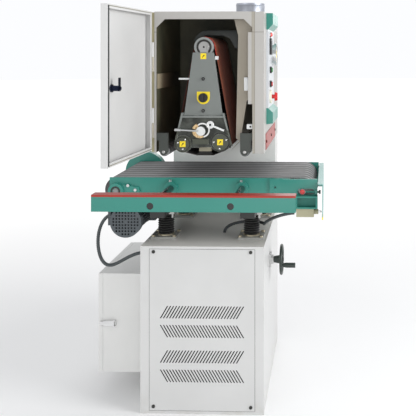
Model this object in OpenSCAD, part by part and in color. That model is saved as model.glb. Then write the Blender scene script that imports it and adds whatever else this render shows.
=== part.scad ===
// Open-end wide-belt sander on a floor cabinet.
// Origin: floor level at the centre of the floor bolt pattern.
// +X points to the infeed end, +Y from the open side to the column, +Z up.

/* [Base cabinet] */
// Width of the base cabinet along the feed direction
base_w = 508; // [504:1:512]
// Depth of the base cabinet from the open side to the back
base_d = 760; // [760:1:764]
// Height of the base cabinet
base_h = 686; // [684:1:686]
// Louvre slots in each row of the front panel
louvre_count = 26; // [10:1:28]

/* [Head cabinet] */
// Lower edge of the head cabinet above the floor
head_z = 1068; // [1066:1:1070]
// Height of the head cabinet
head_h = 581; // [575:1:585]
// Angle of the head door, 0 when shut
door_angle = 95; // [0:5:110]

/* [Sanding head] */
// Radius of the rubber-covered contact drum
drum_r = 41; // [38:0.5:41]
// Radius of the rear steel drum
steel_r = 36; // [33:0.5:36]
// Radius of the upper idler roller
idler_r = 42; // [38:0.5:42]
// Width of the sanding belt
sand_w = 382; // [370:1:382]

/* [Conveyor table] */
// Height of the conveyor belt's top above the floor
table_z = 970; // [960:1:972]
// Width of the conveyor belt
feed_w = 396; // [380:2:396]
// Radius of the conveyor rollers
feed_r = 52; // [50:0.5:52]
// Distance of the support rail in front of the base
rail_reach = 292; // [280:1:320]

/* [Lift] */
// Radius of the jack screws
screw_r = 12.5; // [10:0.5:12.5]
// Radius of the handwheel rim
wheel_r = 61; // [50:1:65]

/* [Hidden] */
$fn = 64;
sheet = 3;              // sheet-metal wall
run = 0.06;             // radial running clearance
front = -base_d / 2;    // plane of the open side
back = base_d / 2;      // plane of the back
half_w = base_w / 2;

// Head
head_top = head_z + head_h;
head_x0 = -196;
head_x1 = half_w;
bulkhead_y = front + 478;
post_x = 207;
band_z = head_top - 31;
jamb_x = 189;

// Door and its hinge
hinge_x = head_x0 - 7;
hinge_y = front - 3;
hinge_z = [1193, 1463];
door_t = 25;
knuckle_h = 60;
latch_x = 368;
latch_z = 1352;

// Sanding head axes, [x, z]
idler_c = [0, 1504];
drum_c = [71, 1111];
steel_c = [-84, 1103];
lever_c = [-8, 1157];
lock_c = [31, 1183];
knob_c = [0, 1294];
plate_y = front + 32;   // front face of the head's front plate
plate_t = 12;
rear_plate_y = 66;
roller_y0 = front + 62;
roller_y1 = 58;
sand_y0 = front + 58;
journal_r = 15;
belt_low = 1052.8;      // inside of the sanding belt under the platen
sand_t = 1.2;

// Pressure rollers, [x, z]
infeed_c = [174, 1072];
outfeed_c = [-160, 1072];
press_r = 20;

// Conveyor table
feed_y0 = front + 14;
feed_y1 = feed_y0 + feed_w;
side_y = front;         // outer face of the front side plate
side_t = 6;
rear_side_y = feed_y1 + 6;
feed_t = 2.8;
feed_z = table_z - feed_r - feed_t - 0.2;
drive_x = -351;
tail_x = 412;
beam_z = table_z - 170;
rod_x = [-126, 165];
rod_r = 14;
rod_z = table_z - 44;
rail_x = [-340, 400];
rail_y0 = front - rail_reach - 45;
rail_y1 = front - rail_reach;
motor_c = [-318, 783];
fan_y0 = front + 8;
sprocket_y = 62;
stop_axis = [484, table_z - 25];
plunger_z = 836;
plunger_y = front - 15;

// Lift
screw_x = 186;
screw_y = [front + 165, front + 545];
chain_z = 626;
sprocket_r = 37;
wheel_y = front + 279;
wheel_z = 553;

// Main drive
pulley_y = back + 8;
main_z = 200;
main_r = 62;
drum_pulley_r = 50;

// Control panel on the infeed side
panel_y0 = front + 113;
panel_y1 = 20;
panel_x = half_w + 9.5;
column_y = -190;
start_z = 1406;
stop_z = 1345;
estop_z = 1290;
lamp_z = 1560;
gauge_y = -60;
gauge_z = 1474;

// Electrical box on the outfeed side
ebox_x0 = -452;
ebox_y0 = -250;
ebox_y1 = 235;
ebox_z0 = 108;
ebox_z1 = 531;
ebox_hinge = [ebox_x0 - 10, ebox_y1 + 6];
toggle_c = [ebox_x0 + 54, ebox_y0 - 5];   // pin of the toggle latch
toggle_z = 320;
toggle_pin_r = 1;

// ---- shared shapes ----

// Box given by its bounds on each axis
module block(x, y, z) {
    translate([x[0], y[0], z[0]]) cube([x[1] - x[0], y[1] - y[0], z[1] - z[0]]);
}

// Round bars along each axis; c holds the two other coordinates
module bar_x(c, r, x) {
    translate([x[0], c[0], c[1]]) rotate([0, 90, 0]) cylinder(r = r, h = x[1] - x[0]);
}
module bar_y(c, r, y) {
    translate([c[0], y[1], c[1]]) rotate([90, 0, 0]) cylinder(r = r, h = y[1] - y[0]);
}
module bar_z(c, r, z) {
    translate([c[0], c[1], z[0]]) cylinder(r = r, h = z[1] - z[0]);
}

// Outline in the XZ plane, given thickness along Y
module slab_y(points, y) {
    translate([0, y[1], 0]) rotate([90, 0, 0]) linear_extrude(y[1] - y[0]) polygon(points);
}

// Flat closed loop around circles [x, z, r], grown by g
module loop_y(circles, g, y) {
    translate([0, y[1], 0]) rotate([90, 0, 0]) linear_extrude(y[1] - y[0])
        hull() for (c = circles) translate([c[0], c[1]]) circle(r = c[2] + g, $fn = 96);
}

// Belt or chain wrapped around circles
module wrap_y(circles, inner, outer, y) {
    difference() {
        loop_y(circles, outer, y);
        loop_y(circles, inner, [y[0] - 1, y[1] + 1]);
    }
}

// Toothed wheel outline
module teeth(count, root, tip) {
    polygon([for (i = [0 : 4 * count - 1])
        let (r = (i % 4 < 2) ? tip : root, a = 90 * (i + (i % 2 == 0 ? 0.2 : -0.2)) / count)
            [r * cos(a), r * sin(a)]]);
}

// Hexagon bolt head with its axis along Z
module hex_z(c, r, z) {
    translate([c[0], c[1], z[0]]) cylinder(r = r, h = z[1] - z[0], $fn = 6);
}

// Point on a cubic curve, and a round cable along it
function cubic(p, t) = pow(1 - t, 3) * p[0] + 3 * pow(1 - t, 2) * t * p[1]
    + 3 * (1 - t) * pow(t, 2) * p[2] + pow(t, 3) * p[3];
module cable(p, r, steps = 6) {
    for (i = [0 : steps - 1]) hull() {
        translate(cubic(p, i / steps)) sphere(r = r, $fn = 12);
        translate(cubic(p, (i + 1) / steps)) sphere(r = r, $fn = 12);
    }
}

// ---- base ----

module base_cabinet() color("gainsboro") {
    difference() {
        block([-half_w, half_w], [front, back], [0, base_h]);
        block([-half_w + sheet, half_w - sheet], [front + sheet, back - sheet], [5, base_h - 8]);
        block([-218, 218], [front - 1, front + sheet + 1], [12, base_h - 10]);
        for (x = [-200, 200], y = [-320, 320]) bar_z([x, y], 7, [-1, 6]);
        for (x = [-screw_x, screw_x], y = screw_y) bar_z([x, y], 21, [base_h - 9, base_h + 1]);
        bar_z([58, -150], 9, [base_h - 9, base_h + 1]);
        bar_x([-290, 635], 9, [-half_w - 1, -half_w + 4]);
        bar_x([wheel_y, wheel_z], 12, [half_w - 4, half_w + 1]);
        bar_y([drum_c[0], main_z], 30, [back - 4, back + 1]);
    }
    panel_ledge();
    lift_bearings();
}

// Frame behind the front panel that takes its screws
module panel_ledge() {
    difference() {
        block([-230, 230], [front + 2, front + 5], [4, base_h - 4]);
        block([-196, 196], [front + 1, front + 6], [40, base_h - 34]);
        for (x = [-200, 200], z = [30, 664]) bar_y([x, z], 3.2, [front + 1, front + 6]);
    }
}

// Blocks that carry the vertical lift shaft and the handwheel shaft
module lift_bearings() {
    difference() {
        block([160, half_w - 1], [wheel_y - 26, wheel_y + 26], [655, base_h - 6]);
        bar_z([screw_x, wheel_y], 8 + run, [650, 672]);
    }
    difference() {
        union() {
            block([half_w, half_w + 8], [wheel_y - 28, wheel_y + 28], [wheel_z - 28, wheel_z + 28]);
            bar_x([wheel_y, wheel_z], 20, [half_w, half_w + 18]);
        }
        bar_x([wheel_y, wheel_z], 8 + run, [half_w - 1, half_w + 19]);
    }
}

module louvred_panel() color("gainsboro") difference() {
    block([-216.5, 216.5], [front, front + 2], [13.5, base_h - 11.5]);
    for (row = [0 : 3]) louvre_row(row);
    for (x = [-200, 200], z = [30, 664]) bar_y([x, z], 3.2, [front - 1, front + 3]);
}

// One row of slanted slots; rows lean by turns to the right and to the left
module louvre_row(row) {
    pitch = 12.5;
    z0 = [391, 313, 209, 130][row];
    lean = (row % 2 == 0) ? 30 : -30;
    for (i = [0 : louvre_count - 1]) {
        x = (i - (louvre_count - 1) / 2) * pitch;
        slab_y([[x - lean / 2 - 2.5, z0], [x - lean / 2 + 2.5, z0],
            [x + lean / 2 + 2.5, z0 + 51], [x + lean / 2 - 2.5, z0 + 51]], [front - 1, front + 3]);
    }
}

// Screws of the front panel and of the infeed guard
module fasteners() color("dimgray") {
    for (x = [-200, 200], z = [30, 664]) {
        bar_y([x, z], 7, [front - 3, front]);
        bar_y([x, z], 3, [front - 1, front + 8]);
    }
    for (y = [-285, -50, 175]) {
        bar_x([y, 1106], 6, [half_w + 2.5, half_w + 5.5]);
        bar_x([y, 1106], 3, [half_w - 6, half_w + 3]);
    }
}

module column() color("gainsboro") difference() {
    block([-half_w, half_w], [front + 605, back], [base_h, head_z]);
    block([-half_w + 4, half_w - 4], [front + 609, back - 4], [base_h + 4, head_z - 8]);
}

// ---- head cabinet ----

module head_cabinet() color("gainsboro") {
    difference() {
        block([head_x0, head_x1], [front, back], [head_z, head_top]);
        // sanding chamber, open at the front and underneath
        block([head_x0 + sheet, head_x1 - sheet], [front + sheet, bulkhead_y],
            [head_z - 1, head_top - sheet]);
        // drive compartment
        block([head_x0 + sheet, head_x1 - sheet], [bulkhead_y + sheet, back - sheet],
            [head_z + sheet, head_top - sheet]);
        door_opening();
        bar_z([172, -137], 63, [head_top - 4, head_top + 1]);
        bar_y([0, 1250], 62, [bulkhead_y - 1, bulkhead_y + 4]);
        bar_y(drum_c, 24, [bulkhead_y - 1, back + 1]);
        for (y = [-285, -50, 175]) bar_x([y, 1106], 3.2, [half_w - 4, half_w + 1]);
    }
    // jamb that the latch grips, and folded returns of the front frame
    block([jamb_x, post_x + 1], [front, front + 2], [1270, 1564]);
    block([post_x, post_x + 2], [front, front + 24], [head_z, band_z + 1]);
    block([head_x0 + 8, post_x], [front, front + 24], [band_z, band_z + 2]);
    for (z = hinge_z) fixed_knuckle(z);
    // safety switch that the shut door presses
    block([172, 190], [front + 10, front + 24], [1325, 1378]);
    block([186, 209], [front + 12, front + 22], [1340, 1364]);
}

// Door opening with chamfered upper corners
module door_opening() {
    c = 35;
    slab_y([[head_x0 + 8, head_z - 1], [post_x, head_z - 1], [post_x, band_z - c],
        [post_x - c, band_z], [head_x0 + 8 + c, band_z], [head_x0 + 8, band_z - c]],
        [front - 1, front + sheet + 1]);
}

// Lower half of a weld-on hinge, with its pin
module fixed_knuckle(z) {
    bar_z([hinge_x, hinge_y], 6, [z - 1 - knuckle_h, z - 1]);
    bar_z([hinge_x, hinge_y], 3, [z - 2, z + knuckle_h - 4]);
    block([hinge_x, head_x0 + 1], [hinge_y - 1, hinge_y + 13], [z - 1 - knuckle_h, z - 1]);
}

// The door is drawn shut in a frame at its hinge, then swung open
module cabinet_door() color("gainsboro") translate([hinge_x, hinge_y, 0])
    rotate([0, 0, -door_angle]) {
        w = head_x1 - hinge_x - 4;
        difference() {
            block([11, w], [-door_t + 1, 1], [head_z + 12, head_top]);
            block([13, w - 2], [-door_t + 3, -1], [head_z + 14, head_top - 2]);
            block([27, w - 16], [-4, 2], [head_z + 28, head_top - 16]);
            bar_y([latch_x, latch_z], 10.1, [-door_t, -door_t + 4]);
        }
        for (z = hinge_z) door_knuckle(z);
    }

module door_knuckle(z) difference() {
    union() {
        bar_z([0, 0], 6, [z, z + knuckle_h]);
        block([0, 12], [-6, -2], [z, z + knuckle_h]);
    }
    bar_z([0, 0], 3 + run, [z - 1, z + knuckle_h + 1]);
}

// Quarter-turn latch: handle outside, bent tongue inside
module door_latch() color("silver") translate([hinge_x, hinge_y, 0])
    rotate([0, 0, -door_angle]) {
        bar_y([latch_x, latch_z], 10.1 - run, [-door_t - 4, 8]);
        bar_y([latch_x, latch_z], 16, [-door_t - 8, -door_t + 1]);
        block([latch_x - 7, latch_x + 7], [-door_t - 20, -door_t - 7], [latch_z - 34, latch_z + 34]);
        bar_y([latch_x, latch_z], 14, [-door_t + 3, -door_t + 9]);
        block([latch_x - 8, latch_x + 8], [8, 11], [latch_z - 10, latch_z + 38]);
        bar_y([latch_x, latch_z], 6, [8, 15]);
    }

// Duct from the contact drum up to the round collar on the roof
module dust_duct() color("tan") {
    y = [front + 30, 45];
    difference() {
        slab_y([[136, 1126], [154, 1114], [180, 1281], [246, 1340], [246, 1644],
            [128, 1644], [128, 1622], [145, 1551]], y);
        slab_y([[139, 1110], [151, 1110], [177, 1283], [243, 1342], [243, 1642],
            [131, 1642], [131, 1623], [148, 1551]], [y[0] + 2, y[1] - 2]);
        bar_z([172, -137], 60, [1600, 1650]);
    }
    slab_y([[153, 1114], [155, 1121], [116, 1077], [114, 1074.5]], y);
    difference() {
        union() {
            bar_z([172, -137], 62.5, [1639, head_top + 49]);
            bar_z([172, -137], 76, [head_top, head_top + 2]);
        }
        bar_z([172, -137], 61, [1600, head_top + 50]);
    }
}

// ---- controls ----

module control_box() color("teal") {
    difference() {
        slab_y([[half_w, 1176], [282, 1180], [282, 1226], [262, 1244], [262, 1580],
            [282, 1602], [282, head_top], [half_w, head_top]], [panel_y0, panel_y1]);
        slab_y([[half_w + 2, 1179], [279, 1183], [279, 1224], [259, 1242], [259, 1582],
            [279, 1604], [279, head_top - 3], [half_w + 2, head_top - 3]],
            [panel_y0 + 3, panel_y1 - 3]);
    }
    block([262, panel_x], [panel_y0 + 6, panel_y1 - 6], [1247, 1577]);
}

module panel_fittings() color("black") {
    bar_x([column_y, lamp_z], 14, [panel_x, panel_x + 3]);
    bar_x([column_y, lamp_z], 10, [panel_x, panel_x + 12]);
    block([panel_x, panel_x + 9], [column_y - 27, column_y + 27], [1472, 1544]);
    for (z = [start_z, stop_z]) difference() {
        bar_x([column_y, z], 15, [panel_x, panel_x + 8]);
        bar_x([column_y, z], 10 + run, [panel_x + 0.4, panel_x + 9]);
    }
    difference() {
        bar_x([column_y, estop_z], 30, [panel_x, panel_x + 8]);
        bar_x([column_y, estop_z], 9 + run, [panel_x + 0.4, panel_x + 9]);
    }
    gauge();
}

module gauge() difference() {
    union() {
        bar_x([gauge_y, gauge_z], 46, [panel_x, panel_x + 14]);
        bar_x([gauge_y, gauge_z], 52, [panel_x + 10, panel_x + 20]);
    }
    bar_x([gauge_y, gauge_z], 46, [panel_x + 16, panel_x + 21]);
}

// Push button; the cap slides in its bezel
module push_cap(z) {
    bar_x([column_y, z], 10, [panel_x + 4.6, panel_x + 12]);
}
module start_button() color("green") push_cap(start_z);
module stop_button() color("red") push_cap(stop_z);

module estop_button() color("red") {
    bar_x([column_y, estop_z], 9, [panel_x + 7, panel_x + 22]);
    translate([panel_x + 21, column_y, estop_z]) rotate([0, 90, 0])
        cylinder(r1 = 20, r2 = 17, h = 12);
}

module infeed_guard() color("red") difference() {
    block([half_w, half_w + 2.5], [front + 80, 190], [head_z + 4, head_z + 72]);
    for (y = [-285, -50, 175]) bar_x([y, 1106], 3.2, [half_w - 1, half_w + 3]);
}

// ---- sanding head ----

module sanding_frame() color("slategray") {
    difference() {
        union() {
            // tapered front plate
            slab_y([[-79.5, 1221], [79.5, 1221], [43.7, 1481], [-43.7, 1481]],
                [plate_y, plate_y + plate_t]);
            // lower casting
            slab_y([[-90, 1232], [87, 1230], [118, 1100], [112, 1085], [71, 1090],
                [-84, 1085], [-118, 1112]], [plate_y + 2, plate_y + plate_t]);
            bar_y(steel_c, 36, [front + 26, front + 46]);
            bar_y(drum_c, 41, [front + 26, front + 46]);
            // rims and ties that stand out of the casting
            slab_y([[-90, 1232], [-83, 1232], [-110, 1118], [-118, 1112]],
                [front + 24, plate_y + 4]);
            slab_y([[80, 1230], [87, 1230], [121, 1095], [114, 1100]],
                [front + 24, plate_y + 4]);
            block([-88, 85], [front + 24, plate_y + 4], [1212, 1219]);
            block([-44, 24], [front + 24, plate_y + 4], [1102, 1123]);
            // seat of the platen lever
            bar_y([-3, 1160], 31, [front + 28, plate_y + 4]);
            // rear plate
            slab_y([[-90, 1300], [90, 1300], [124, 1095], [100, 1068], [45, 1068],
                [20, 1090], [-40, 1090], [-60, 1064], [-105, 1064], [-124, 1095]],
                [rear_plate_y, rear_plate_y + 18]);
        }
        bar_y([-3, 1160], 27, [front + 27, plate_y]);
        for (c = [steel_c, drum_c]) bar_y(c, journal_r + run, [front + 28, 90]);
        bar_y(lever_c, 8 + run, [front + 20, 60]);
        bar_y(lock_c, 6 + run, [front + 20, plate_y + 14]);
        bar_y(knob_c, 4 + run, [plate_y - 1, plate_y + 14]);
    }
    // bearing caps on the front housings
    bar_y(steel_c, 27, [front + 20, front + 26]);
    bar_y(drum_c, 34, [front + 22, front + 26]);
    // cantilever beam between the plates, and the tube back to the column
    block([-42, 42], [plate_y + plate_t, rear_plate_y], [1194, 1290]);
    bar_y([0, 1250], 58, [rear_plate_y + 18, 245]);
    difference() {
        block([-150, 150], [240, 258], [head_z + sheet, 1430]);
        bar_y(drum_c, 24, [239, 259]);
    }
    block([-150, 150], [228, 340], [head_z + sheet, head_z + 15]);
    for (x = [-120, 108]) slab_x([[258, 1080], [336, 1080], [258, 1400]], [x, x + 12]);
    // screws of the front plate
    for (z = [1240, 1372]) bar_y([0, z], 5, [plate_y - 3, plate_y]);
}

// Outline in the YZ plane, given thickness along X
module slab_x(points, x) {
    translate([x[0], 0, 0]) rotate([90, 0, 90]) linear_extrude(x[1] - x[0]) polygon(points);
}

module sanding_belt() color("saddlebrown")
    wrap_y([[idler_c[0], idler_c[1], idler_r], [steel_c[0], steel_c[1], steel_r],
        [drum_c[0], drum_c[1], drum_r], [-30, belt_low + 10.3, 10], [35, belt_low + 10.3, 10]],
        0.3, 0.3 + sand_t, [sand_y0, sand_y0 + sand_w]);

// Air cylinder that tensions the belt, and the rods that sense the belt's edges
module tracking_gear() color("whitesmoke") {
    difference() {
        bar_z([0, -130], 24, [1290, 1395]);
        bar_z([0, -130], 8 + run, [1330, 1396]);
    }
    bar_x([plate_y + 6, 1372], 4, [-103, -59.6]);
    block([47.9, 62], [plate_y + 2, plate_y + 10], [1452, 1466]);
}

// Yoke that carries the idler's fixed shaft and the cylinder's rod
module tension_yoke() color("darkgray") {
    y0 = front + 46;
    y1 = 74;
    block([-17, 17], [y0, y1], [1420, 1440]);
    for (y = [[y0, y0 + 12], [y1 - 12, y1]]) {
        block([-17, 17], y, [1420, idler_c[1]]);
        bar_y(idler_c, 23, y);
    }
    bar_y(idler_c, 10, [y0 - 3, y1 + 3]);
    bar_y(idler_c, 12, [y0 - 6, y0]);
    bar_z([0, -130], 8, [1345, 1421]);
}

module idler_roller() color("silver") difference() {
    bar_y(idler_c, idler_r, [roller_y0, roller_y1]);
    bar_y(idler_c, 33, [roller_y0 - 1, roller_y0 + 12]);
    bar_y(idler_c, 33, [roller_y1 - 12, roller_y1 + 1]);
    bar_y(idler_c, 10 + run, [roller_y0 - 1, roller_y1 + 1]);
}

// Driven drum with its shaft through the back and a three-groove pulley
module contact_drum() color("black") {
    bar_y(drum_c, drum_r, [roller_y0 - 10, roller_y1]);
    bar_y(drum_c, journal_r, [front + 30, pulley_y + 40]);
    grooved_pulley(drum_c, drum_pulley_r);
}

// Pulley with three grooves, its axis along Y
module grooved_pulley(c, r) translate([c[0], pulley_y, c[1]]) rotate([-90, 0, 0])
    rotate_extrude() polygon([[0, 0], [r, 0],
        for (i = [0 : 2], p = [[r, 3 + 12 * i], [r - 10, 4 + 12 * i],
            [r - 10, 10 + 12 * i], [r, 11 + 12 * i]]) p,
        [r, 38], [0, 38]]);

module steel_drum() color("silver") {
    bar_y(steel_c, steel_r, [roller_y0 - 10, roller_y1]);
    bar_y(steel_c, journal_r, [front + 30, rear_plate_y + 17]);
}

// Graphite pad in its holder, with two posts under the lever's cams
module platen() color("tan") {
    y = [sand_y0 + 4, sand_y0 + sand_w - 4];
    block([-30, 35], y, [belt_low + 0.3, belt_low + 8]);
    block([-23, 29], y, [belt_low + 8, 1092]);
    for (y = [-260, -10]) block([-14, -2], [y, y + 16], [1091, 1143]);
}

module platen_lever() color("silver") {
    y0 = front + 12;
    bar_y(lever_c, 19, [y0 + 2, front + 27.5]);
    bar_y(lever_c, 8, [y0 + 6, 40]);
    for (y = [-260, -10]) bar_y([lever_c[0], lever_c[1] - 3], 10, [y, y + 16]);
    translate([lever_c[0], 0, lever_c[1]]) rotate([0, 3, 0]) {
        bar_x([y0 + 4, 0], 4, [-106, -10]);
        bar_x([y0 + 4, 0], 6.5, [-108, -84]);
    }
}

module lock_lever() color("silver") {
    y0 = front + 14;
    bar_y(lock_c, 16, [y0 + 2, front + 27.5]);
    bar_y(lock_c, 6, [y0 + 2, plate_y + 11]);
    translate([lock_c[0], 0, lock_c[1]]) rotate([0, 22, 0])
        block([10, 62], [y0, y0 + 6], [-4, 4]);
}

// Rotary switch that tensions and frees the belt
module tension_knob() color("black") {
    bar_y(knob_c, 19, [plate_y - 12, plate_y - 2]);
    bar_y(knob_c, 4, [plate_y - 3, plate_y + 10]);
    block([knob_c[0] - 4, knob_c[0] + 4], [plate_y - 24, plate_y - 11],
        [knob_c[1] - 18, knob_c[1] + 18]);
}

// Brackets that hold the pressure rollers' ends, fixed to the side walls
module roller_brackets() color("gray") {
    for (y = [[front + 4, front + 22], [62, 80]]) {
        arm_end = (y[0] < 0) ? post_x : head_x1 - sheet;
        pressure_bracket(infeed_c, [156, 201], [190, arm_end], y);
        pressure_bracket(outfeed_c, [-178, -142], [head_x0 + sheet, -170], y);
    }
}
module pressure_bracket(c, x, arm, y) difference() {
    union() {
        block(x, y, [1072, 1150]);
        bar_y([c[0], 1072], 14, y);
        block(arm, y, [1120, 1150]);
    }
    bar_y(c, 8 + run, [y[0] - 1, y[1] + 1]);
}

module pressure_roller(c) {
    bar_y(c, press_r, [front + 24, 60]);
    bar_y(c, 8, [front + 6, 78]);
}
module infeed_pressure_roller() color("dimgray") pressure_roller(infeed_c);
module outfeed_pressure_roller() color("dimgray") pressure_roller(outfeed_c);

// ---- main drive ----

module main_motor() color("darkslategray") difference() {
    union() {
        bar_y([drum_c[0], main_z], 95, [40, 300]);
        bar_y([drum_c[0], main_z], 82, [20, 312]);
        for (x = [drum_c[0] - 88, drum_c[0] + 48])
            block([x, x + 40], [80, 260], [5, main_z - 40]);
        block([drum_c[0] + 80, drum_c[0] + 140], [120, 220], [main_z, main_z + 60]);
    }
    bar_y([drum_c[0], main_z], 14 + run, [200, 320]);
}

module motor_pulley() color("dimgray") {
    bar_y([drum_c[0], main_z], 14, [210, pulley_y + 42]);
    grooved_pulley([drum_c[0], main_z], main_r);
}

module drive_belts() color("black") for (i = [0 : 2]) {
    y = pulley_y + 4.2 + 12 * i;
    wrap_y([[drum_c[0], drum_c[1], drum_pulley_r - 10], [drum_c[0], main_z, main_r - 10]],
        0.3, 9, [y, y + 5.6]);
}

module belt_guard() color("gainsboro") difference() {
    guard_body(80, [back, back + 60]);
    guard_body(78, [back - 1, back + 58]);
}
module guard_body(r, y) {
    block([drum_c[0] - r, drum_c[0] + r], y, [main_z, drum_c[1]]);
    for (z = [main_z, drum_c[1]]) bar_y([drum_c[0], z], r, y);
}

// ---- electrical box ----

module electrical_box() color("gainsboro") {
    difference() {
        block([ebox_x0, -half_w], [ebox_y0, ebox_y1], [ebox_z0, ebox_z1]);
        block([ebox_x0 - 1, -half_w - 2], [ebox_y0 + 2, ebox_y1 - 2], [ebox_z0 + 2, ebox_z1 - 2]);
    }
    // mounting plate with the contactor and the overload relay
    block([-half_w - 8, -half_w - 1], [-170, 190], [ebox_z0 + 40, ebox_z1 - 40]);
    block([-half_w - 78, -half_w - 7], [-130, -60], [360, 450]);
    block([-half_w - 68, -half_w - 7], [-30, 60], [370, 440]);
    // toggle latch base and its pin
    block([toggle_c[0] - 40, toggle_c[0] + 4], [ebox_y0 - 5, ebox_y0], [toggle_z - 9, toggle_z + 9]);
    bar_z(toggle_c, toggle_pin_r, [toggle_z - 14, toggle_z + 14]);
    for (z = [200, 460]) {
        bar_z(ebox_hinge, 5, [z - 26, z - 1]);
        bar_z(ebox_hinge, 2.5, [z - 2, z + 22]);
        block([ebox_hinge[0], ebox_x0 + 24], [ebox_y1, ebox_y1 + 4], [z - 26, z - 1]);
    }
}

module box_door() color("gainsboro") {
    difference() {
        block([ebox_x0 - 19, ebox_x0 - 0.8], [ebox_y0, ebox_y1 - 1], [ebox_z0, ebox_z1]);
        block([ebox_x0 - 17, ebox_x0], [ebox_y0 + 2, ebox_y1 - 3], [ebox_z0 + 2, ebox_z1 - 2]);
    }
    block([ebox_x0 - 14, ebox_x0 - 7], [ebox_y0 - 5, ebox_y0 + 1], [toggle_z - 8, toggle_z + 8]);
    for (z = [200, 460]) difference() {
        union() {
            bar_z(ebox_hinge, 5, [z, z + 25]);
            block([ebox_x0 - 18, ebox_hinge[0]], [ebox_y1 - 2, ebox_y1 + 3], [z, z + 25]);
        }
        bar_z(ebox_hinge, 2.5 + run, [z - 1, z + 26]);
    }
}

module latch_lever() color("silver") difference() {
    x = toggle_c[0];
    union() {
        block([x - 48, x - 3], [ebox_y0 - 12, ebox_y0 - 8], [toggle_z - 11, toggle_z + 11]);
        for (z = [toggle_z - 14, toggle_z + 10])
            block([x - 7, x + 2], [ebox_y0 - 12, ebox_y0 - 3], [z, z + 4]);
        block([x - 66, x - 47], [ebox_y0 - 11, ebox_y0 - 8.5], [toggle_z - 7, toggle_z + 7]);
    }
    bar_z(toggle_c, toggle_pin_r + run, [toggle_z - 15, toggle_z + 15]);
}

// ---- lift ----

module at_screws() for (x = [-screw_x, screw_x], y = screw_y) translate([x, y, 0]) children();

module screw_flanges() color("dimgray") at_screws() {
    difference() {
        union() {
            block([-54, 54], [-54, 54], [base_h, base_h + 8]);
            bar_z([0, 0], 36, [base_h + 7, base_h + 14]);
        }
        bar_z([0, 0], 20, [base_h - 1, base_h + 15]);
    }
    for (x = [-45, 45], y = [-45, 45]) hex_z([x, y], 8, [base_h + 8, base_h + 15]);
}

// Chain around the four nut sprockets and the drive sprocket
module lift_chain() color("dimgray") translate([0, 0, chain_z]) linear_extrude(6) difference() {
    chain_outline(42);
    chain_outline(38);
}
module chain_outline(r) hull()
    for (x = [-screw_x, screw_x], y = screw_y) translate([x, y]) circle(r = r, $fn = 48);

// Nut that turns in its flange; its sprocket is driven by the chain
module lift_nut(x, y) translate([x, y, 0]) difference() {
    union() {
        bar_z([0, 0], 20 - run, [610, base_h + 13]);
        translate([0, 0, chain_z]) linear_extrude(6) teeth(18, sprocket_r - 5, sprocket_r);
        bar_z([0, 0], 28, [chain_z - 8, chain_z]);
    }
    bar_z([0, 0], screw_r + 0.09, [600, base_h + 14]);
}
module lift_nut_fl() color("goldenrod") lift_nut(-screw_x, screw_y[0]);
module lift_nut_fr() color("goldenrod") lift_nut(screw_x, screw_y[0]);
module lift_nut_rl() color("goldenrod") lift_nut(-screw_x, screw_y[1]);
module lift_nut_rr() color("goldenrod") lift_nut(screw_x, screw_y[1]);

// Pleated covers of the jack screws
module screw_bellows() color("black") at_screws() rotate_extrude() bellows_wall();
module bellows_wall() {
    z0 = base_h + 14.5;
    pleats = 9;
    step = (beam_z - 11 - z0) / pleats;
    polygon([for (i = [0 : 2 * pleats]) [(i % 2 == 0) ? 28 : 35, z0 + i * step / 2],
        for (i = [2 * pleats : -1 : 0]) [(i % 2 == 0) ? 25.5 : 32.5, z0 + i * step / 2]]);
}

module jack_screws() color("silver") at_screws() {
    bar_z([0, 0], screw_r, [500, beam_z]);
    block([-44, 44], [-44, 44], [beam_z - 10, beam_z]);
    for (x = [-36, 36], y = [-36, 36]) hex_z([x, y], 6, [beam_z - 26, beam_z - 10]);
}

// Upright shaft with the drive sprocket and the crown gear
module lift_drive_shaft() color("silver") translate([screw_x, wheel_y, 0]) {
    bar_z([0, 0], 8, [569, 671]);
    translate([0, 0, chain_z]) linear_extrude(6) teeth(18, sprocket_r - 5, sprocket_r);
    bar_z([0, 0], 36, [568, 580]);
}

// Handwheel, its shaft and the pinion under the crown gear
module handwheel() color("black") {
    c = [wheel_y, wheel_z];
    bar_x(c, 8, [206, 318]);
    bar_x(c, 14, [208, 220]);
    translate([half_w + 20, wheel_y, wheel_z]) rotate([0, 90, 0])
        cylinder(r1 = 14, r2 = 19, h = 26);
    bar_x(c, 17, [half_w + 45, half_w + 62]);
    translate([half_w + 54, wheel_y, wheel_z]) rotate([0, 90, 0])
        rotate_extrude() translate([wheel_r, 0]) circle(r = 6.5, $fn = 24);
    for (a = [10, 130, 250]) translate([half_w + 54, wheel_y, wheel_z]) rotate([a, 0, 0])
        block([-4, 4], [10, wheel_r - 2], [-6, 6]);
    handle_grip();
}
module handle_grip() translate([half_w + 54, wheel_y, wheel_z]) rotate([10, 0, 0])
    translate([0, -(wheel_r - 6), 0]) rotate([0, 90, 0]) {
        cylinder(r = 5, h = 20);
        translate([0, 0, 10]) cylinder(r1 = 8, r2 = 11, h = 14);
        translate([0, 0, 24]) cylinder(r = 11, h = 40);
    }

// ---- conveyor table ----

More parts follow.
